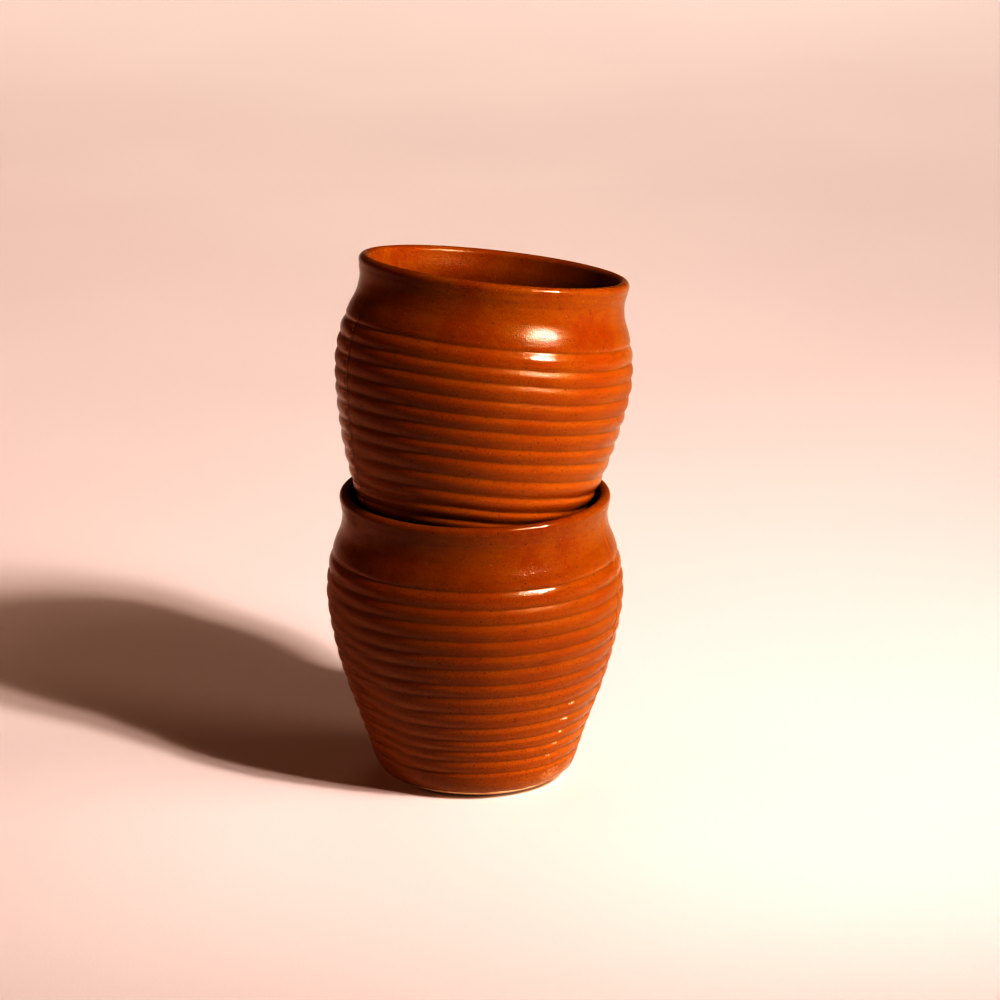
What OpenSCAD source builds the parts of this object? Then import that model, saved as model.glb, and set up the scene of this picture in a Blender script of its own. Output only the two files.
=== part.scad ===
// A stacked pair of ribbed clay kulhad cups, glazed burnt orange. Both cups have the same turned shape:
// a bare foot, thirteen uneven rings, a smooth neck and a rounded lip. The lower cup stands on the table
// and the upper one leans in its mouth. Each cup is a fired clay body with a coat of glaze fused over it.

/* [Cup] */
// Height of one cup
cup_h = 79.4; // [72:0.1:92]
// Widest diameter, over the rings
belly_d = 80; // [74:0.5:92]
// Height of the widest ring above the table
belly_h = 52.3; // [46:0.1:56]
// Narrowest diameter, under the lip
neck_d = 71.3; // [64:0.1:72]
// Height of the narrowest ring above the table
neck_h = 73.2; // [68:0.1:75]
// Outer diameter of the lip
rim_d = 72.8; // [68:0.1:78]
// Thickness of the finished wall and of the rounded lip
wall = 3; // [2.4:0.1:4]

/* [Foot] */
// Diameter where the wall turns under
foot_d = 54.6; // [50:0.1:60]
// Radius of the curve that turns under the cup
foot_curve = 9.4; // [7:0.1:11]
// Width of the ring that the cup stands on
stand_w = 3.5; // [2:0.1:6]
// Depth of the hollow under the cup
recess = 1; // [0.5:0.1:1.5]
// Height of the inside floor above the table
floor_h = 4; // [3.2:0.1:6]
// Radius between the inside floor and the wall
floor_curve = 6; // [4:0.5:9]

/* [Rings] */
// Height of the lowest groove
low_groove_h = 8.5; // [8:0.1:10]
// Height of the highest groove
high_groove_h = 62.6; // [58:0.1:65]
// How far each ring stands out from its grooves
ring_relief = 0.6; // [0.2:0.05:1]
// Height over which the plain wall rounds down into an end groove
groove_land = 1.3; // [0.8:0.1:2]

/* [Glaze] */
// Thickness of the glaze
glaze_t = 0.4; // [0.25:0.05:0.6]
// Height of the bare clay left at the foot
bare_h = 1.3; // [0.8:0.1:2]

/* [Stack] */
// Angle that the upper cup leans from upright
lean = 9.9; // [0:0.1:14]
// Direction of the lean, from +X towards +Y
lean_way = 51; // [0:1:359]
// How far left of the middle, towards -X, the upper cup's axis crosses the mouth
side_shift = 1.5; // [0:0.1:2]
// How far in front of the middle, towards -Y, the upper cup's axis crosses the mouth
front_shift = 0.45; // [0:0.05:2]
// Gap left between the cups where the upper one rests on the lip
rest_gap = 0.35; // [0.3:0.05:0.6]

/* [Hidden] */
$fn = 96;

clay_colour = "#e2c6a0";
glaze_colour = "#c4581c";

belly_r = belly_d / 2;
neck_r = neck_d / 2;
rim_r = rim_d / 2;
foot_r = foot_d / 2;
lip_r = wall / 2;
lip_centre_r = rim_r - lip_r;
lip_centre_h = cup_h - lip_r;

// The foot curve leaves the table at one angle from level and meets the wall at the other.
foot_low_a = 15;
foot_high_a = 70;
foot_centre_r = foot_r - foot_curve * sin(foot_high_a);
foot_centre_h = (foot_curve - glaze_t) * cos(foot_low_a);
foot_turn_h = foot_centre_h - foot_curve * cos(foot_high_a);
stand_r = foot_centre_r + (foot_curve - glaze_t) * sin(foot_low_a);

// Steps in each stretch of the outline
ring_steps = 6;
land_steps = 3;
curve_steps = 6;
lip_steps = 12;
neck_steps = 10;
inside_steps = 16;

// Finished wall line without the grooves: shares of the height and of the spread between two named rings
rise_shares = [[0.19, 0.225], [0.33, 0.42], [0.5, 0.64], [0.68, 0.82], [0.86, 0.95]];
drop_shares = [[0.3, 0.1], [0.6, 0.5], [0.85, 0.93]];

// The rings are uneven, as on a hand-turned model: each groove's share of the way up the ringed band
groove_shares = [0, 0.07, 0.13, 0.195, 0.27, 0.355, 0.445, 0.515, 0.6, 0.675, 0.755, 0.84, 0.915, 1];
groove_h = [for (s = groove_shares) low_groove_h + s * (high_groove_h - low_groove_h)];

// Stations of the wall line as [height, radius], from the turn of the foot to the lip
stations = concat(
    [[foot_turn_h, foot_r]],
    [for (s = rise_shares) [foot_turn_h + s[0] * (belly_h - foot_turn_h), foot_r + s[1] * (belly_r - foot_r)]],
    [[belly_h, belly_r]],
    [for (s = drop_shares) [belly_h + s[0] * (neck_h - belly_h), belly_r - s[1] * (belly_r - neck_r)]],
    [[neck_h, neck_r], [lip_centre_h, rim_r]]
);

// Slope of the chord above station i, and of the line at station i, kept level at each widest or narrowest ring
function chord(i) = (stations[i + 1][1] - stations[i][1]) / (stations[i + 1][0] - stations[i][0]);
function meet(a, b) = a * b <= 0 ? 0 : 2 * a * b / (a + b);
function slope(i) =
    i == 0 ? 1 / tan(foot_high_a)
    : i == len(stations) - 1 ? 0
    : meet(chord(i - 1), chord(i));

function span_at(h) = max([0, for (i = [0 : len(stations) - 2]) if (h >= stations[i][0]) i]);

// Cubic curve through both ends of span i with the slopes there, at share u of the span's height dh
function cubic(i, u, dh) =
    stations[i][1] * (1 + 2 * u) * pow(1 - u, 2)
    + stations[i + 1][1] * u * u * (3 - 2 * u)
    + slope(i) * dh * u * pow(1 - u, 2)
    - slope(i + 1) * dh * u * u * (1 - u);

// Radius of the finished wall line at height h
function wall_r(h) =
    let (i = span_at(h), dh = stations[i + 1][0] - stations[i][0])
    cubic(i, (h - stations[i][0]) / dh, dh);

// Share of a ring's relief that is missing at share u of its height: all of it in both grooves, none at its crest
function hollow(u) = pow(1 - 2 * u, 2);

// Evenly spaced values from a to b, and the same without b
function between(a, b, steps) = [for (i = [0 : steps]) a + (b - a) * i / steps];
function towards(a, b, steps) = [for (i = [0 : steps - 1]) a + (b - a) * i / steps];
function reversed(list) = [for (i = [len(list) - 1 : -1 : 0]) list[i]];
function arc(r, h, radius, angles) = [for (t = angles) [r + radius * sin(t), h - radius * cos(t)]];

// Outline points at a depth below the finished surface: 0 is the glaze and glaze_t the clay under it
function ring_points(i, depth) = [
    for (u = towards(0, 1, ring_steps))
        let (h = groove_h[i - 1] + u * (groove_h[i] - groove_h[i - 1]))
        [wall_r(h) - ring_relief * hollow(u) - depth, h]
];

// Beside an end groove the plain wall rounds over as half a ring does, from share from_u of that ring
function land_points(from_h, from_u, depth) = [
    for (v = towards(0, 1, land_steps))
        let (h = from_h + v * groove_land)
        [wall_r(h) - ring_relief * hollow(from_u + v / 2) - depth, h]
];
function foot_angle(h, depth) = acos((foot_centre_h - h) / (foot_curve - depth));

function outside(depth, from_a) = concat(
    arc(foot_centre_r, foot_centre_h, foot_curve - depth, between(from_a, foot_high_a, curve_steps)),
    land_points(low_groove_h - groove_land, 0.5, depth),
    [for (i = [1 : len(groove_h) - 1]) each ring_points(i, depth)],
    land_points(high_groove_h, 0, depth),
    [for (h = towards(high_groove_h + groove_land, lip_centre_h, neck_steps)) [wall_r(h) - depth, h]]
);

function lip(depth) = arc(lip_centre_r, lip_centre_h, lip_r - depth, between(90, 270, lip_steps));

// The inside follows the plain wall line one wall thickness in, then rounds into a level floor
floor_turn_h = floor_h + floor_curve * (1 - cos(foot_high_a));
floor_centre_r = wall_r(floor_turn_h) - wall - floor_curve * sin(foot_high_a);
function inside(depth) = concat(
    [for (h = reversed(towards(floor_turn_h, lip_centre_h, inside_steps)))
        if (h > floor_turn_h) [wall_r(h) - wall + depth, h]],
    arc(floor_centre_r, floor_h + floor_curve, floor_curve + depth, between(foot_high_a, 0, curve_steps)),
    [[0, floor_h - depth]]
);

// Everything that the glaze covers, from the edge of the bare foot round to the middle of the floor
function coat(depth) = concat(outside(depth, foot_angle(bare_h, depth)), lip(depth), inside(depth));

// Clay foot below the glaze, from the middle of the hollow out to the stand ring and up its curve
recess_r = stand_r - stand_w - recess;
function foot() =
    let (angles = between(foot_low_a, foot_angle(bare_h, glaze_t), curve_steps))
    concat(
        [[0, recess], [recess_r, recess], [stand_r - stand_w, 0]],
        arc(foot_centre_r, foot_centre_h, foot_curve - glaze_t, angles)
    );

module cup_body() {
    shape = concat(foot(), [for (i = [1 : len(coat(glaze_t)) - 1]) coat(glaze_t)[i]]);
    rotate_extrude() polygon(shape);
}

module cup_glaze() {
    rotate_extrude() polygon(concat(coat(0), reversed(coat(glaze_t))));
}

// Where the upper cup comes to rest: its axis crosses the lip's centre plane at the two shifts, and it is
// lowered until its outside is the rest gap away from the nearest of the points tested on the lower cup.
round_tests = 48;
rest_rounds = 24;

// Rings of test points round the lip and down the inside: [radius, height, radius of the edge there]
test_rings = concat([[lip_centre_r, lip_centre_h, lip_r]], [for (p = inside(0)) if (p[0] > 0) [p[0], p[1], 0]]);

// Foot of the upper cup's axis when it stands h above the table
function foot_at(h) = [
    -side_shift - (lip_centre_h - h) * tan(lean) * cos(lean_way),
    -front_shift - (lip_centre_h - h) * tan(lean) * sin(lean_way),
    h
];

// A point as the leaning cup sees it: distance from its axis, and height up it
function seen(v) =
    let (along = v[0] * cos(lean_way) + v[1] * sin(lean_way), across = v[1] * cos(lean_way) - v[0] * sin(lean_way))
    [norm([along * cos(lean) - v[2] * sin(lean), across]), along * sin(lean) + v[2] * cos(lean)];

// How far such a point lies outside the cup's wall or, lower down, outside the curve of its foot
function outside_by(q) =
    q[1] > foot_turn_h
    ? (q[0] - wall_r(q[1])) * cos(atan(chord(span_at(q[1]))))
    : norm([max(0, q[0] - foot_centre_r), q[1] - foot_centre_h]) - foot_curve;
function gap_at(h, ring, a) =
    outside_by(seen([ring[0] * cos(a), ring[0] * sin(a), ring[1]] - foot_at(h))) - ring[2];
function least_gap(h) =
    min([for (ring = test_rings, i = [1 : round_tests]) gap_at(h, ring, 360 * i / round_tests)]);
function rest_h(low, high, rounds) =
    let (mid = (low + high) / 2)
    rounds == 0 ? high
    : least_gap(mid) < rest_gap ? rest_h(mid, high, rounds - 1)
    : rest_h(low, mid, rounds - 1);
upper_foot = foot_at(rest_h(floor_h, cup_h, rest_rounds));

module in_mouth() {
    translate(upper_foot) rotate([0, 0, lean_way]) rotate([0, lean, 0]) rotate([0, 0, -lean_way]) children();
}

module lower_cup_body() {
    color(clay_colour) cup_body();
}

module lower_cup_glaze() {
    color(glaze_colour) cup_glaze();
}

module upper_cup_body() {
    color(clay_colour) in_mouth() cup_body();
}

module upper_cup_glaze() {
    color(glaze_colour) in_mouth() cup_glaze();
}

lower_cup_body();
lower_cup_glaze();
upper_cup_body();
upper_cup_glaze();
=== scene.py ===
import math

import bpy
from mathutils import Matrix, Vector


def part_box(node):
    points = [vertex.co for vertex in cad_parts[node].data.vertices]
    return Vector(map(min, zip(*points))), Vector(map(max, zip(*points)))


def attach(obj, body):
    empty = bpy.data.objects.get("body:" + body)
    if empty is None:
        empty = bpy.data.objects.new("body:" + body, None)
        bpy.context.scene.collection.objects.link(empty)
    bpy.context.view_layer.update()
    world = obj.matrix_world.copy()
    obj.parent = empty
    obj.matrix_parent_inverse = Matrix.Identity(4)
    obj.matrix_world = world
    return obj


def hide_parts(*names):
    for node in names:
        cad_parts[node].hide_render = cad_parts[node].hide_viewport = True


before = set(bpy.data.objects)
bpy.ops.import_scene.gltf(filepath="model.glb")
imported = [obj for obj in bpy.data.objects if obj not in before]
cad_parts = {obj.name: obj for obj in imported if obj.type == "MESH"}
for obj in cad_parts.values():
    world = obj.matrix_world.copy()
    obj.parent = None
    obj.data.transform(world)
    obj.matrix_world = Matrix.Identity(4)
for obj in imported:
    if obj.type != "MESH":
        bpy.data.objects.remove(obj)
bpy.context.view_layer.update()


# The two clay bodies: slip-cast shells of pale clay, turned round once on the wheel to clean them and then
# fired. Only the foot ring, the first few millimetres of the wall and the hollow underneath stay bare.
cup_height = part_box("lower_cup_glaze")[1].z
mm = cup_height / 79.4           # one millimetre of the real cup
clay_pale = (0.88, 0.70, 0.47, 1)
clay_warm = (0.74, 0.48, 0.25, 1)
clay_scorched = (0.42, 0.20, 0.08, 1)


class Wire:
    """One output of a node; sums on it add Math nodes."""

    def __init__(self, socket):
        self.socket = socket

    @classmethod
    def add(cls, tree, kind, settings=None, inputs=None, out=0):
        """Add one node, its settings first, then the values or links of its sockets."""
        node = tree.nodes.new(kind)
        for key, value in (settings or {}).items():
            setattr(node, key, value)
        for key, value in (inputs or {}).items():
            cls.feed(tree, node.inputs[key], value)
        return cls(node.outputs[out])

    @staticmethod
    def feed(tree, socket, value):
        if isinstance(value, Wire):
            tree.links.new(value.socket, socket)
        else:
            socket.default_value = value

    def other(self, name):
        """Another output of the same node."""
        return Wire(self.socket.node.outputs[name])

    def sum(self, operation, first, second):
        tree = self.socket.id_data
        return Wire.add(tree, "ShaderNodeMath", {"operation": operation}, {0: first, 1: second})

    def __add__(self, other):
        return self.sum("ADD", self, other)

    def __radd__(self, other):
        return self.sum("ADD", other, self)

    def __sub__(self, other):
        return self.sum("SUBTRACT", self, other)

    def __rsub__(self, other):
        return self.sum("SUBTRACT", other, self)

    def __mul__(self, other):
        return self.sum("MULTIPLY", self, other)

    def __rmul__(self, other):
        return self.sum("MULTIPLY", other, self)

    def __truediv__(self, other):
        return self.sum("DIVIDE", self, other)

    def __pow__(self, other):
        return self.sum("POWER", self, other)

    def do(self, operation, other=0.0):
        """One Math node on this value, such as its cosine or the greater of it and another."""
        return self.sum(operation, self, other)

    def rise(self, low, high):
        """0 below low, 1 above high, smooth between."""
        settings = {"interpolation_type": "SMOOTHSTEP"}
        inputs = {"Value": self, "From Min": low, "From Max": high}
        return Wire.add(self.socket.id_data, "ShaderNodeMapRange", settings, inputs)

    def blend(self, first, second):
        """Colour that goes from first to second as this value goes from 0 to 1."""
        inputs = {0: self, 6: first, 7: second}
        return Wire.add(self.socket.id_data, "ShaderNodeMix", {"data_type": "RGBA"}, inputs, 2)


def new_finish(name):
    """An empty node material: its tree and its surface shader."""
    finish = bpy.data.materials.new(name)
    finish.use_nodes = True
    return finish, finish.node_tree, finish.node_tree.nodes["Principled BSDF"]


def bare_clay(name, turn, foot):
    """Matte clay with fine grain and the wheel's rings round the cup's own axis."""
    finish, tree, shader = new_finish(name)
    place = Wire.add(tree, "ShaderNodeTexCoord", out="Object")
    own = Wire.add(tree, "ShaderNodeMapping", {"vector_type": "TEXTURE"},
                   {"Vector": place, "Location": foot, "Rotation": turn.to_euler()})
    parts = Wire.add(tree, "ShaderNodeSeparateXYZ", inputs={0: own})
    x = parts.other("X")
    y = parts.other("Y")
    radius = (x * x + y * y) ** 0.5
    cloud = Wire.add(tree, "ShaderNodeTexNoise", inputs={"Vector": own, "Scale": 0.09 / mm, "Detail": 4.0})
    grain = Wire.add(tree, "ShaderNodeTexNoise", inputs={"Vector": own, "Scale": 1.9 / mm, "Detail": 3.0})
    wheel = Wire.add(tree, "ShaderNodeTexNoise", {"noise_dimensions": "1D"},
                     {"W": radius + cloud * (0.4 * mm), "Scale": 1.3 / mm, "Detail": 3.0})
    tint = (cloud * 0.6 + wheel * 0.4).rise(0.40, 0.62)
    colour = tint.blend(clay_pale, clay_warm)
    colour = (grain.rise(0.60, 0.72) * 0.55).blend(colour, clay_scorched)
    Wire.feed(tree, shader.inputs["Base Color"], colour)
    Wire.feed(tree, shader.inputs["Roughness"], 0.78 + 0.2 * grain)
    relief = grain * 0.6 + wheel * 0.4
    bump = Wire.add(tree, "ShaderNodeBump",
                    inputs={"Strength": 0.5, "Distance": 0.12 * mm, "Height": relief})
    Wire.feed(tree, shader.inputs["Normal"], bump)
    shader.inputs["Specular IOR Level"].default_value = 0.25
    return finish


# The upper cup leans to the back right, in the lower cup's mouth. The lean turns it about its foot. The
# foot's place follows from the box of its coat of glaze, which the belly and the glaze's lower edge bound
# at the sides, and the lip at the top.
wall = 3.0 * mm
belly = (52.3 * mm, 40.0 * mm)   # height and radius, here and below
glaze_edge = (1.3 * mm, 24.27 * mm)
lip_radius = wall / 2
lip_height = cup_height - lip_radius
rim_radius = 36.4 * mm
lean = math.radians(9.9)
lean_way = math.radians(51)
lean_turn = (Matrix.Rotation(lean_way, 4, "Z") @ Matrix.Rotation(lean, 4, "Y")
             @ Matrix.Rotation(-lean_way, 4, "Z"))


def leaning_ring(height, radius, count=720):
    """Points round the leaning cup's wall, its foot at the origin."""
    turns = [math.tau * i / count for i in range(count)]
    return [lean_turn @ Vector((radius * math.cos(t), radius * math.sin(t), height)) for t in turns]


def middle(values):
    return (min(values) + max(values)) / 2


sides = leaning_ring(*belly) + leaning_ring(*glaze_edge)
lip_top = max(p.z for p in leaning_ring(lip_height, rim_radius - lip_radius)) + lip_radius
upper_low, upper_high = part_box("upper_cup_glaze")
upper_foot = Vector((middle([upper_low.x, upper_high.x]) - middle([p.x for p in sides]),
                     middle([upper_low.y, upper_high.y]) - middle([p.y for p in sides]),
                     upper_high.z - lip_top))

lower_foot = Vector((0, 0, 0))
upright = Matrix.Identity(4)
for level_name, turn, foot in (("lower", upright, lower_foot), ("upper", lean_turn, upper_foot)):
    clay = bare_clay("fired_clay_" + level_name, turn, foot)
    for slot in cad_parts[level_name + "_cup_body"].material_slots:
        slot.material = clay


# The coats of glaze: one skin a cup, 0.4 mm of burnt-orange glaze fused over the clay, outside and in. It
# follows thirteen uneven rings, a plain neck and a round lip, carries the seams that the mould left down two
# sides, and ends in a wavy edge just above the foot.
glaze_thick = 0.4 * mm
back_depth = 0.3 * mm            # the skin's hidden side, a hair above the clay
neck = (73.2 * mm, 35.65 * mm)
lip_dip = (76.6 * mm, 0.5 * mm, 0.13 * mm)  # height, half width and depth of the dip under the lip
floor_top = 4.0 * mm
floor_curve = 6.0 * mm
foot_curve = 9.4 * mm
foot_low = math.radians(15)
foot_high = math.radians(70)
foot_radius = 27.3 * mm
foot_centre = (foot_radius - foot_curve * math.sin(foot_high),
               (foot_curve - glaze_thick) * math.cos(foot_low))
foot_turn = foot_centre[1] - foot_curve * math.cos(foot_high)
skin_edge = 1.75 * mm            # the skin starts a little above the CAD glaze's edge
groove_low = 8.5 * mm
groove_high = 62.6 * mm
groove_land = 1.3 * mm
ring_relief = 0.6 * mm
groove_round = 0.9 * mm
groove_fill = 0.22               # share of the relief that the rounding fills at the bottom of a groove
rise_shares = ((0.19, 0.225), (0.33, 0.42), (0.5, 0.64), (0.68, 0.82), (0.86, 0.95))
drop_shares = ((0.3, 0.1), (0.6, 0.5), (0.85, 0.93))
groove_shares = (0, 0.07, 0.13, 0.195, 0.27, 0.355, 0.445, 0.515, 0.6, 0.675, 0.755, 0.84, 0.915, 1)
grooves = [groove_low + share * (groove_high - groove_low) for share in groove_shares]
stations = [(foot_turn, foot_radius)]
stations += [(foot_turn + a * (belly[0] - foot_turn), foot_radius + b * (belly[1] - foot_radius))
             for a, b in rise_shares]
stations += [belly]
stations += [(belly[0] + a * (neck[0] - belly[0]), belly[1] - b * (belly[1] - neck[1]))
             for a, b in drop_shares]
stations += [neck, (lip_height, rim_radius)]


def chord(i):
    """Radius gained for each unit of height between station i and the next."""
    (h0, r0), (h1, r1) = stations[i], stations[i + 1]
    return (r1 - r0) / (h1 - h0)


def slope(i):
    """The curve's slope at station i: on from the foot's curve, upright at the lip and at a turning point."""
    if i == 0:
        return 1 / math.tan(foot_high)
    if i == len(stations) - 1:
        return 0
    a, b = chord(i - 1), chord(i)
    return 0 if a * b <= 0 else 2 * a * b / (a + b)


def wall_radius(h):
    """The plain wall's outer radius at height h: one smooth curve through the stations."""
    i = max([0] + [i for i in range(len(stations) - 1) if h >= stations[i][0]])
    (h0, r0), (h1, r1) = stations[i], stations[i + 1]
    step = h1 - h0
    u = (h - h0) / step
    return (r0 * (1 + 2 * u) * (1 - u) ** 2 + r1 * u * u * (3 - 2 * u)
            + slope(i) * step * u * (1 - u) ** 2 - slope(i + 1) * step * u * u * (1 - u))


def groove_share(h):
    """How much of the ring relief is missing at height h: 1 in a groove, 0 on a crest and on plain wall."""
    if h <= groove_low - groove_land or h >= groove_high + groove_land:
        return 0
    if h < groove_low:
        u = 1 - 0.5 * (groove_low - h) / groove_land
    elif h > groove_high:
        u = 0.5 * (h - groove_high) / groove_land
    else:
        i = max(i for i in range(len(grooves) - 1) if h >= grooves[i])
        u = (h - grooves[i]) / (grooves[i + 1] - grooves[i])
    return (1 - 2 * u) ** 2


def rounded_share(h):
    """The same with the floor of each groove rounded, as glaze that ran into it leaves it."""
    nearest = min(abs(h - g) for g in grooves)
    share = groove_share(h)
    if nearest < groove_round:
        share -= groove_fill * (1 - nearest / groove_round) ** 2
    return share


def steps(low, high, count, last=False):
    """Equal steps from low towards high, with high itself only if last is set."""
    return [low + (high - low) * i / count for i in range(count + (1 if last else 0))]


def skin_outline(depth, fine):
    """The outline from the glaze's edge over the lip to the middle of the floor, as (radius, height,
    groove, face) where face is 1 outside and -1 inside, and goes from one to the other over the lip."""
    rows = []
    edge = math.acos((foot_centre[1] - skin_edge) / (foot_curve - depth))
    for t in steps(edge, foot_high, 10 if fine else 5):
        rows.append((foot_centre[0] + (foot_curve - depth) * math.sin(t),
                     foot_centre[1] - (foot_curve - depth) * math.cos(t), 0, 1))
    heights = steps(foot_turn, groove_low - groove_land, 3) + steps(groove_low - groove_land, groove_low, 4)
    for low, high in zip(grooves, grooves[1:]):
        heights += steps(low, high, 10 if fine else 5)
    heights += steps(groove_high, groove_high + groove_land, 4)
    heights += steps(groove_high + groove_land, lip_height, 30 if fine else 10)
    for h in heights:
        dip = lip_dip[2] * math.exp(-((h - lip_dip[0]) / lip_dip[1]) ** 2)
        share = rounded_share(h) if fine else groove_share(h)
        rows.append((wall_radius(h) - ring_relief * share - dip - depth, h, share, 1))
    for t in steps(math.radians(90), math.radians(270), 20 if fine else 8):
        rows.append((rim_radius - lip_radius + (lip_radius - depth) * math.sin(t),
                     lip_height - (lip_radius - depth) * math.cos(t), 0, math.sin(t)))
    turn_height = floor_top + floor_curve * (1 - math.cos(foot_high))
    curve_centre = wall_radius(turn_height) - wall - floor_curve * math.sin(foot_high)
    for h in steps(lip_height, turn_height, 44 if fine else 16):
        rows.append((wall_radius(h) - wall + depth, h, 0, -1))
    for t in steps(foot_high, 0, 10 if fine else 5):
        rows.append((curve_centre + (floor_curve + depth) * math.sin(t),
                     floor_top + floor_curve - (floor_curve + depth) * math.cos(t), 0, -1))
    for r in steps(curve_centre, 0, 10 if fine else 4, last=True):
        rows.append((r, floor_top - depth, 0, -1))
    return rows


def outline_chain(name):
    """The closed outline as a chain of edges in the XZ plane, with the groove and the face at each point."""
    front = skin_outline(0, True)
    back = [(r, h, g, -2) for r, h, g, face in reversed(skin_outline(back_depth, False))]
    rows = front + back + front[:1]
    mesh = bpy.data.meshes.new(name)
    mesh.from_pydata([(r, 0, h) for r, h, g, face in rows], [(i, i + 1) for i in range(len(rows) - 1)], [])
    for label, index in (("groove", 2), ("face", 3)):
        layer = mesh.attributes.new(label, "FLOAT", "POINT")
        layer.data.foreach_set("value", [row[index] for row in rows])
    return mesh, len(rows)


lower_seed = 3
upper_seed = 8
apart_x = 13.7 * mm              # how far the seed moves a cup's place in the glaze's patterns
apart_y = 5.3 * mm
full_cut = 0.26 * mm             # the seam cut that shows lobes at full strength


def turned_cup_tree():
    """Geometry Nodes: turn the outline round the cup's axis, with closer columns at the mould seams. Raise
    the seams, end the rings in lobes beside them, let rings, wall and edge wander, and swell the front."""
    tree = bpy.data.node_groups.new("turned cup", "GeometryNodeTree")
    sizes = ("Seam angle", "Seam closeness", "Seam height", "Seam width", "Seam cut", "Seam top", "Wander",
             "Edge wander", "Edge height", "Ring wave", "Ring drop", "Front swell")
    for kind, labels in (
            ("NodeSocketGeometry", ("Outline",)), ("NodeSocketInt", ("Columns", "Rows", "Seed")),
            ("NodeSocketFloat", sizes), ("NodeSocketMaterial", ("Finish",))):
        for label in labels:
            tree.interface.new_socket(label, in_out="INPUT", socket_type=kind)
    tree.interface.new_socket("Cup", in_out="OUTPUT", socket_type="NodeSocketGeometry")
    given = {socket.name: Wire(socket) for socket in tree.nodes.new("NodeGroupInput").outputs}

    grid = Wire.add(tree, "GeometryNodeMeshGrid", inputs={
        "Size X": 1.0, "Size Y": 1.0, "Vertices X": given["Columns"] + 1.0, "Vertices Y": given["Rows"]})
    index = Wire.add(tree, "GeometryNodeInputIndex")
    column = ((index + 0.5) / given["Rows"]).do("FLOOR")
    row = index - column * given["Rows"]
    even = column / given["Columns"] * math.tau
    # closer columns on both sides of each seam
    from_seam = even - (even * 2.0).do("SINE") * 0.5 * given["Seam closeness"]
    angle = from_seam + given["Seam angle"]
    cosine, sine = angle.do("COSINE"), angle.do("SINE")

    def sampled(kind, value):
        return Wire.add(tree, "GeometryNodeSampleIndex", {"data_type": kind, "domain": "POINT"},
                        {"Geometry": given["Outline"], "Value": value, "Index": row})

    def named(name):
        return Wire.add(tree, "GeometryNodeInputNamedAttribute", {"data_type": "FLOAT"}, {"Name": name})

    def combined(x, y, z):
        return Wire.add(tree, "ShaderNodeCombineXYZ", inputs={"X": x, "Y": y, "Z": z})

    def hump(distance, top, width):
        """1 at top, falling to 0 on both sides over about the width."""
        u = (distance - top) / width
        return (u * u * -1.0).do("EXPONENT")

    def fraction(value):
        """The value kept between 0 and 1."""
        return value.do("MAXIMUM", 0.0).do("MINIMUM", 1.0)

    line_place = sampled("FLOAT_VECTOR", Wire.add(tree, "GeometryNodeInputPosition"))
    on_line = Wire.add(tree, "ShaderNodeSeparateXYZ", inputs={0: line_place})
    radius = on_line.other("X")
    height = on_line.other("Z")
    groove = sampled("FLOAT", named("groove"))
    side = sampled("FLOAT", named("face"))
    outer = side.do("GREATER_THAN", 0.5)

    # distance from the nearer seam, round the wall: the sine is 0 at both seams
    across = from_seam.do("SINE") * radius * from_seam.do("COSINE").do("SIGN")
    width = given["Seam width"]
    fin = hump(across, 0.0, width)
    hollow = hump(across, width * 2.0, width * 0.9)
    softened = hump(across, width * 0.6, width * 2.6)
    band = fraction((given["Seam top"] - height) / (3 * mm)) * outer
    raised = (fin - hollow * 0.5) * given["Seam height"]
    filled = softened * groove * (given["Seam height"] * 1.6)
    # the cut takes the crests down at the seam, so that each ring ends there in a round lobe
    lobes = hump(across, width * -1.2, width) * (1.0 - groove * 0.8) * given["Seam cut"]
    raised = (raised + filled - lobes) * band
    # each lobe has a thin rim that carries a painted highlight, and a crease with painted shade runs between
    #     # the lobes and the rings beyond
    cut_share = given["Seam cut"] / full_cut
    past_end = (across / (0.6 * mm) + 1.3).do("MAXIMUM", 0.0)
    past_side = ((groove - 0.42) / 0.3 + 1.0).do("MAXIMUM", 0.0)
    from_lobe = (past_end * past_end + past_side * past_side).do("SQRT")
    rim = hump(from_lobe, 1.0, 0.34) * hump(across, 0.0, 4 * mm) * (cut_share * band)
    crease_shade = hump(across, width * 0.55, width * 0.5) * (cut_share * (0.35 + groove * 0.65)) * band

    seeded = given["Seed"] * 7.31

    def noise_round(turn_scale, height_scale, phase, detail, scale=1.0):
        """Noise that closes on itself round the cup."""
        place = combined(cosine * turn_scale, sine * turn_scale, height * height_scale)
        return Wire.add(tree, "ShaderNodeTexNoise", {"noise_dimensions": "4D"},
                        {"Vector": place, "W": phase, "Scale": scale, "Detail": detail})

    wander = noise_round(1.1, 0.11 / mm, seeded, 1.0) * given["Wander"] * radius.do("GREATER_THAN", 1 * mm)
    at_foot = 1.0 - (height / given["Edge height"]).do("MINIMUM", 1.0)
    lift = noise_round(1.0, 0.001 / mm, seeded, 3.0, 7.0) * at_foot * given["Edge wander"]
    # the rings rise and dip by a fraction of a millimetre on their way round
    wave = (noise_round(1.6, 0.07 / mm, seeded + 3.3, 2.0) - 0.5) * given["Ring wave"] * 2.0
    on_rings = fraction((height - 6 * mm) / (6 * mm)) * fraction((66 * mm - height) / (10 * mm))
    wave = (wave - given["Ring drop"]) * outer * on_rings
    # the cup isn't quite round: low down it is fuller at the front
    facing = (angle + math.radians(85)).do("COSINE").rise(-0.3, 0.35)
    front = hump(height, 21 * mm, 12 * mm) * facing * outer
    swell = lift * 0.45 + front * given["Front swell"]

    full = (radius + raised - wander + swell) * radius.do("GREATER_THAN", 0.0001 * mm)
    put = combined(full * cosine, full * sine, height + lift + wave)
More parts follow.
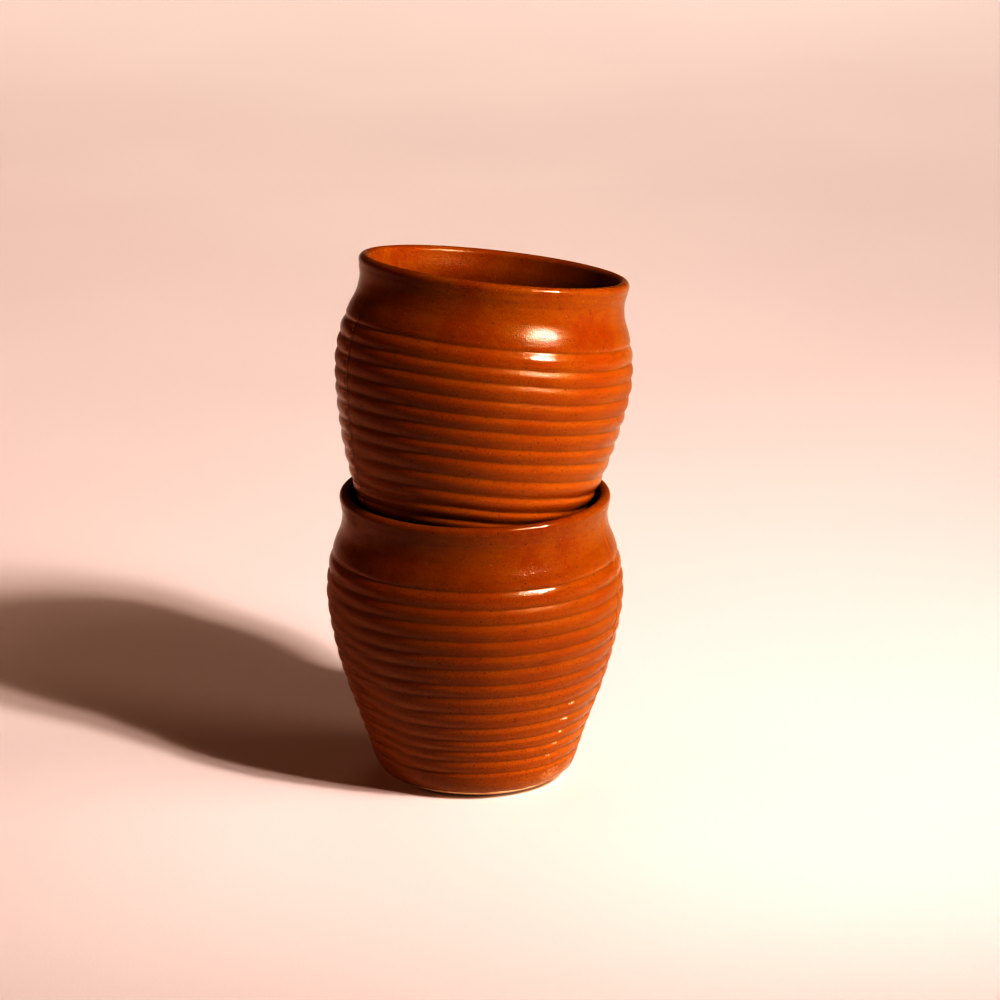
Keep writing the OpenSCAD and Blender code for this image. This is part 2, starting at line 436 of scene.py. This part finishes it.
    # each cup has clouds and specks of its own
    apart = combined(given["Seed"] * apart_x, given["Seed"] * apart_y, 0.0)
    own = Wire.add(tree, "ShaderNodeVectorMath", {"operation": "ADD"}, {0: put, 1: apart})
    cup = Wire.add(tree, "GeometryNodeSetPosition", inputs={"Geometry": grid, "Position": put})
    # seam, lobe_rim and crease carry the masks for the painted highlights on the seam and the lobes' rims,
    # and for the painted shade in the crease
    for name, kind, value in (
            ("own_place", "FLOAT_VECTOR", own), ("groove", "FLOAT", groove), ("face", "FLOAT", side),
            ("seam", "FLOAT", fin * (1.0 - cut_share) * band), ("lobe_rim", "FLOAT", rim),
            ("crease", "FLOAT", crease_shade)):
        cup = Wire.add(tree, "GeometryNodeStoreNamedAttribute", {"data_type": kind, "domain": "POINT"},
                       {"Geometry": cup, "Name": name, "Value": value})
    # the columns that meet, the poles and the outline's two ends are closed
    cup = Wire.add(tree, "GeometryNodeMergeByDistance", inputs={"Geometry": cup, "Distance": 0.002 * mm})
    cup = Wire.add(tree, "GeometryNodeSetShadeSmooth", inputs={"Geometry": cup, "Shade Smooth": True})
    cup = Wire.add(tree, "GeometryNodeRealizeInstances", inputs={"Geometry": cup})
    cup = Wire.add(tree, "GeometryNodeSetMaterial", inputs={"Geometry": cup, "Material": given["Finish"]})
    Wire.feed(tree, tree.nodes.new("NodeGroupOutput").inputs[0], cup)
    return tree


# Painted glints at the lower cup's front right: short strokes of painted highlight high on its five lowest
# rings, as (ring, bearing in degrees, half length in millimetres, strength), and a faint painted reflection
# at the foot.
stroke_rise = 0.8                # how far up its ring each stroke sits
stroke_half_height = 0.38 * mm
strokes = ((4, -41.5, 1.5, 0.85), (3, -44.5, 1.1, 0.75), (3, -42, 1.0, 0.85), (2, -43.5, 0.9, 0.80),
           (1, -45, 1.3, 0.40), (0, -47.5, 1.3, 0.35))
painted_glints = [(grooves[ring] + stroke_rise * (grooves[ring + 1] - grooves[ring]), math.radians(bearing),
              half_length * mm, stroke_half_height, strength)
             for ring, bearing, half_length, strength in strokes]
painted_glints += [(5.2 * mm, math.radians(-42), 4.8 * mm, 2.6 * mm, 0.12)]


def orange_glaze():
    """Burnt-orange gloss glaze: brown where it pools in the grooves, with painted shade at their bottom,
    redder on the crests, and lighter low on the wall and pale at the foot with painted bounce light from the
    paper. It has streaks round the cup, cloudy patches, dark iron pits and pale specks under a fine
    orange-peel skin, a painted highlight on the raised seam and on the lobes' rims at the cut seam, painted
    shade in the crease there, and painted glints on the low rings. It is duller inside, on some rings and on
    the neck."""
    finish, tree, shader = new_finish("orange_glaze")

    def stored(name, out="Fac"):
        return Wire.add(tree, "ShaderNodeAttribute", {"attribute_name": name}, out=out)

    own = stored("own_place", "Vector")
    groove, face, seam = stored("groove"), stored("face"), stored("seam")
    lobe_rim, crease = stored("lobe_rim"), stored("crease")
    outside = face.rise(0.2, 0.9)
    inside = (face * -1.0).rise(0.2, 0.9)

    def noise_at(scale, detail, vector=own):
        """Noise at a scale for each millimetre."""
        return Wire.add(tree, "ShaderNodeTexNoise",
                        inputs={"Vector": vector, "Scale": scale / mm, "Detail": detail})

    def specks(scale, size, shift):
        """Round spots: one cell in six of the pattern has one, of its own size."""
        shifted = Wire.add(tree, "ShaderNodeVectorMath", {"operation": "ADD"},
                           {0: own, 1: (shift, shift, shift)})
        cells = Wire.add(tree, "ShaderNodeTexVoronoi", inputs={"Vector": shifted, "Scale": scale / mm})
        chance = Wire.add(tree, "ShaderNodeSeparateColor", inputs={0: cells.other("Color")})
        reach = (chance - 0.84) * size / 0.16
        return (reach - cells.other("Distance")).rise(0.0, 0.06)

    # the streaks are eight times longer round the cup than they are high
    flat = Wire.add(tree, "ShaderNodeMapping", {"vector_type": "POINT"},
                    {"Vector": own, "Scale": (0.12, 0.12, 1.0)})
    streak = noise_at(1.1, 3.0, flat)
    fine = noise_at(1.9, 2.0, flat)
    cloud = noise_at(0.09, 3.0)
    mottle = noise_at(0.55, 3.0)
    grain = noise_at(2.6, 2.0)
    peel = noise_at(2.8, 1.0)
    pits = specks(1.1, 0.32, 0.0)
    pale = specks(1.3, 0.26, 3.7)
    height = Wire.add(tree, "ShaderNodeSeparateXYZ", inputs={0: own}, out="Z")
    above_rings = height.rise(groove_high, groove_high + 2 * mm)
    band = height.rise(groove_low - 2 * mm, groove_low) * (1.0 - above_rings) * outside
    bounce_low_wall = (1.0 - height.rise(8 * mm, 44 * mm)) * outside
    crest = (1.0 - groove).rise(0.80, 1.0) * band
    at_foot = (1.0 - height.rise(2.5 * mm, 7.5 * mm)) * outside

    base = (0.232, 0.081, 0.004, 1)
    red = (0.212, 0.058, 0.003, 1)
    brown = (0.105, 0.044, 0.004, 1)
    gold = (0.240, 0.097, 0.005, 1)
    bright = (0.350, 0.122, 0.006, 1)
    shade_dark = (0.045, 0.016, 0.002, 1)
    painted_light_pale = (0.42, 0.20, 0.07, 1)
    rim_highlight = (0.75, 0.46, 0.30, 1)
    glint_pale = (0.86, 0.56, 0.44, 1)
    speck_pale = (0.40, 0.20, 0.08, 1)
    pit_dark = (0.025, 0.008, 0.002, 1)
    colour = cloud.rise(0.38, 0.64).blend(base, red)
    colour = (streak.rise(0.42, 0.70) * 0.45).blend(colour, red)
    colour = (mottle.rise(0.50, 0.75) * 0.40).blend(colour, gold)
    colour = (fine.rise(0.54, 0.72) * 0.30 * band).blend(colour, brown)
    # the ring band's own brighter tone, and painted bounce light from the paper that lightens the low wall
    colour = (band * 0.30 + bounce_low_wall * 0.45).blend(colour, bright)
    colour = (crest * 0.30).blend(colour, red)
    colour = (groove.rise(0.45, 1.0) * 0.62).blend(colour, brown)
    # painted shade at the bottom of each groove
    colour = (groove.rise(0.72, 1.0) * 0.30).blend(colour, shade_dark)
    # painted highlight on the raised seam
    colour = (seam * 0.20).blend(colour, painted_light_pale)
    # painted shade in the crease at the cut seam
    colour = (crease * 0.80).blend(colour, shade_dark)
    # painted highlight on each lobe's rim
    colour = (lobe_rim * 0.60).blend(colour, rim_highlight)
    # painted bounce light from the paper, pale at the foot
    colour = (at_foot * (0.12 + 0.3 * mottle)).blend(colour, painted_light_pale)
    colour = (grain.rise(0.52, 0.68) * 0.45).blend(colour, brown)
    colour = (pits * 0.50).blend(colour, pit_dark)
    colour = (pale * 0.50).blend(colour, speck_pale)
    # painted highlights: a lamp's reflection on the low rings' crests and on the foot
    glint_grain = noise_at(1.6, 2.0).rise(0.36, 0.56)
    for high, bearing, half_length, half_height, strength in painted_glints:
        out = wall_radius(max(high, foot_turn))
        there = (out * math.cos(bearing) + lower_seed * apart_x,
                 out * math.sin(bearing) + lower_seed * apart_y, high)
        spot = Wire.add(tree, "ShaderNodeMapping", {"vector_type": "TEXTURE"}, {
            "Vector": own, "Location": there, "Scale": (half_length, half_length, half_height)})
        away = Wire.add(tree, "ShaderNodeVectorMath", {"operation": "LENGTH"}, {0: spot}, out="Value")
        colour = ((1.0 - away.rise(0.55, 1.0)) * glint_grain * strength).blend(colour, glint_pale)
    Wire.feed(tree, shader.inputs["Base Color"], colour)

    satin = height.rise(42 * mm, 46 * mm) * (1.0 - height.rise(57.4 * mm, 59 * mm)) * outside
    soft_neck = height.rise(61 * mm, 65 * mm) * (1.0 - height.rise(70 * mm, 74 * mm)) * outside
    rough = 0.08 + 0.06 * mottle + 0.06 * grain + 0.05 * groove + 0.14 * inside
    rough = rough + 0.19 * satin + 0.06 * soft_neck
    Wire.feed(tree, shader.inputs["Roughness"], rough)
    relief = peel * 1.2 + grain + streak * outside * 0.9 + fine * band * 0.6 + pale * 0.5 + lobe_rim * 1.5
    relief = relief - groove * 2.5 - pits * 1.2 - crease * 2.5
    bump = Wire.add(tree, "ShaderNodeBump",
                    inputs={"Strength": 0.55, "Distance": 0.09 * mm, "Height": relief})
    Wire.feed(tree, shader.inputs["Normal"], bump)
    shader.inputs["IOR"].default_value = 1.5
    shader.inputs["Specular IOR Level"].default_value = 0.4
    return finish


glaze = orange_glaze()
cup_tree = turned_cup_tree()
sockets = {item.name: item.identifier for item in cup_tree.interface.items_tree if item.in_out == "INPUT"}
alike = {"Columns": 228, "Seam closeness": 0.86, "Wander": 0.10 * mm, "Edge wander": 0.8 * mm,
         "Edge height": 6 * mm, "Ring wave": 0.5 * mm, "Finish": glaze}
lower_own = {"Seam angle": math.radians(-16), "Seam height": 0.17 * mm, "Seam width": 0.42 * mm,
             "Seam cut": 0.0, "Seam top": 77 * mm, "Ring drop": 0.2 * mm, "Front swell": 0.0,
             "Seed": lower_seed}
upper_own = {"Seam angle": math.radians(203.9), "Seam height": 0.12 * mm, "Seam width": 0.70 * mm,
             "Seam cut": full_cut, "Seam top": 65 * mm, "Ring drop": 0.35 * mm, "Front swell": 0.6 * mm,
             "Seed": upper_seed}
for level_name, body, turn, foot, own_values in (
        ("lower", "lower_cup", upright, lower_foot, lower_own),
        ("upper", "upper_cup", lean_turn, upper_foot, upper_own)):
    line, row_count = outline_chain(level_name + "_outline")
    maker = bpy.data.objects.new(level_name + "_maker", line)
    bpy.context.scene.collection.objects.link(maker)
    turning = maker.modifiers.new("turned cup", "NODES")
    turning.node_group = cup_tree
    for label, value in {**alike, **own_values, "Rows": row_count}.items():
        turning[sockets[label]] = value
    ready = maker.evaluated_get(bpy.context.evaluated_depsgraph_get())
    skin_mesh = bpy.data.meshes.new_from_object(ready)
    skin_mesh.name = level_name + "_glaze_skin"
    maker.modifiers.remove(turning)
    bpy.data.objects.remove(maker)
    # the belly's faces have to look away from the cup's axis
    belly_faces = [p for p in skin_mesh.polygons if p.center.xy.length > belly[1] - 1 * mm]
    if sum(p.normal.xy.dot(p.center.xy) * p.area for p in belly_faces) < 0:
        skin_mesh.flip_normals()
    skin_mesh.transform(Matrix.Translation(foot) @ turn)
    skin = bpy.data.objects.new(level_name + "_glaze_skin", skin_mesh)
    bpy.context.scene.collection.objects.link(skin)
    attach(skin, body)
    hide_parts(level_name + "_cup_glaze")


# The floor: a sheet of pale warm paper, wide enough to fill the picture, that the cups stand on.
paper_half = 5.0                 # half its side, in metres
paper_tints = ((0.712, 0.626, 0.623, 1), (0.737, 0.651, 0.646, 1))


def pale_paper():
    """Matte paper with soft clouds and a fine fibre."""
    finish, tree, shader = new_finish("pale_paper")
    place = Wire.add(tree, "ShaderNodeTexCoord", out="Object")
    soft = Wire.add(tree, "ShaderNodeTexNoise", inputs={"Vector": place, "Scale": 0.003 / mm, "Detail": 3.0})
    fibre = Wire.add(tree, "ShaderNodeTexNoise", inputs={"Vector": place, "Scale": 0.9 / mm, "Detail": 3.0})
    Wire.feed(tree, shader.inputs["Base Color"], soft.rise(0.35, 0.65).blend(*paper_tints))
    bump = Wire.add(tree, "ShaderNodeBump",
                    inputs={"Strength": 0.15, "Distance": 0.2 * mm, "Height": fibre})
    Wire.feed(tree, shader.inputs["Normal"], bump)
    shader.inputs["Roughness"].default_value = 0.9
    shader.inputs["Specular IOR Level"].default_value = 0.2
    return finish


corners = [(x * paper_half, y * paper_half, 0) for x, y in ((-1, -1), (1, -1), (1, 1), (-1, 1))]
floor_mesh = bpy.data.meshes.new("floor")
floor_mesh.from_pydata(corners, [], [(0, 1, 2, 3)])
floor_mesh.materials.append(pale_paper())
floor = bpy.data.objects.new("floor", floor_mesh)
bpy.context.scene.collection.objects.link(floor)


# The light: a soft lamp at the front right with a bright heart, and a harder one far behind it, cast the
# shadow. A broad low lamp lights the right side, a warm one fills the left, and one behind the cups
# brightens the paper. Only a small lamp to the right of the soft one shows in the gloss.
aim_height = 75 * mm
paper_white = (1.0, 0.98, 0.95)
side_warm = (1.0, 0.93, 0.85)
fill_orange = (1.0, 0.57, 0.32)
back_pale = (0.98, 1.0, 0.95)
room_orange = (1.0, 0.55, 0.30, 1)


def lamp(name, azimuth, elevation, distance, width, height, power, colour):
    """A flat lamp that looks at the cups: angles in degrees, lengths in metres, power in watts."""
    light = bpy.data.lights.new(name, "AREA")
    light.shape = "RECTANGLE"
    light.size = width
    light.size_y = height
    light.energy = power
    light.color = colour
    around, up = math.radians(azimuth), math.radians(elevation)
    way = Vector((math.cos(up) * math.cos(around), math.cos(up) * math.sin(around), math.sin(up)))
    holder = bpy.data.objects.new(name, light)
    holder.location = Vector((0, 0, aim_height)) + way * distance
    holder.rotation_euler = way.to_track_quat("Z", "Y").to_euler()
    holder.visible_glossy = False
    bpy.context.scene.collection.objects.link(holder)
    return holder


# The two near lamps look past the cups at the paper behind, so that the front of the paper isn't too bright.
far_aim = Vector((-0.34, 0.62, 0))
for near in (lamp("soft_lamp", -42, 44, 0.62, 0.12, 0.26, 0.55, paper_white),
             lamp("heart_lamp", -41, 42.2, 0.57, 0.03, 0.06, 0.94, paper_white)):
    near.data.spread = math.radians(110)
    near.rotation_euler = (near.location - far_aim).to_track_quat("Z", "Y").to_euler()
lamp("far_lamp", -42.1, 39.9, 4.0, 0.14, 0.24, 57, paper_white)
lamp("side_lamp", -10, 4, 3.2, 1.6, 1.0, 104, side_warm)
lamp("fill_lamp", 165, 9, 1.6, 0.8, 0.3, 7, fill_orange)
glint = lamp("glint_lamp", -31, 40, 0.60, 0.030, 0.046, 3.2, paper_white)
glint.visible_diffuse = False
glint.visible_glossy = True
back = lamp("back_lamp", 90, 42, 2.3, 1.0, 0.6, 2.8, back_pale)
back.data.spread = math.radians(68)
back.rotation_euler = (math.radians(-17), 0, 0)
room = bpy.data.worlds.new("pale_room")
room.use_nodes = True
room.node_tree.nodes["Background"].inputs["Color"].default_value = room_orange
room.node_tree.nodes["Background"].inputs["Strength"].default_value = 0.10
bpy.context.scene.world = room
bpy.context.scene.view_settings.view_transform = "Standard"
bpy.context.scene.view_settings.look = "Very High Contrast"
bpy.context.scene.view_settings.gamma = 0.75


# The camera: a long lens 17 degrees above the level, as the cups were photographed.
eye = bpy.data.cameras.new("camera")
eye.sensor_width = 36
eye.lens = 252
eye.clip_end = 20
tilt = math.radians(16.92)
camera = bpy.data.objects.new("camera", eye)
camera.location = (6.72 * mm, -1796.5 * mm, 623.0 * mm)
camera.rotation_euler = (math.radians(90) - tilt, 0, 0)
bpy.context.scene.collection.objects.link(camera)
bpy.context.scene.camera = camera
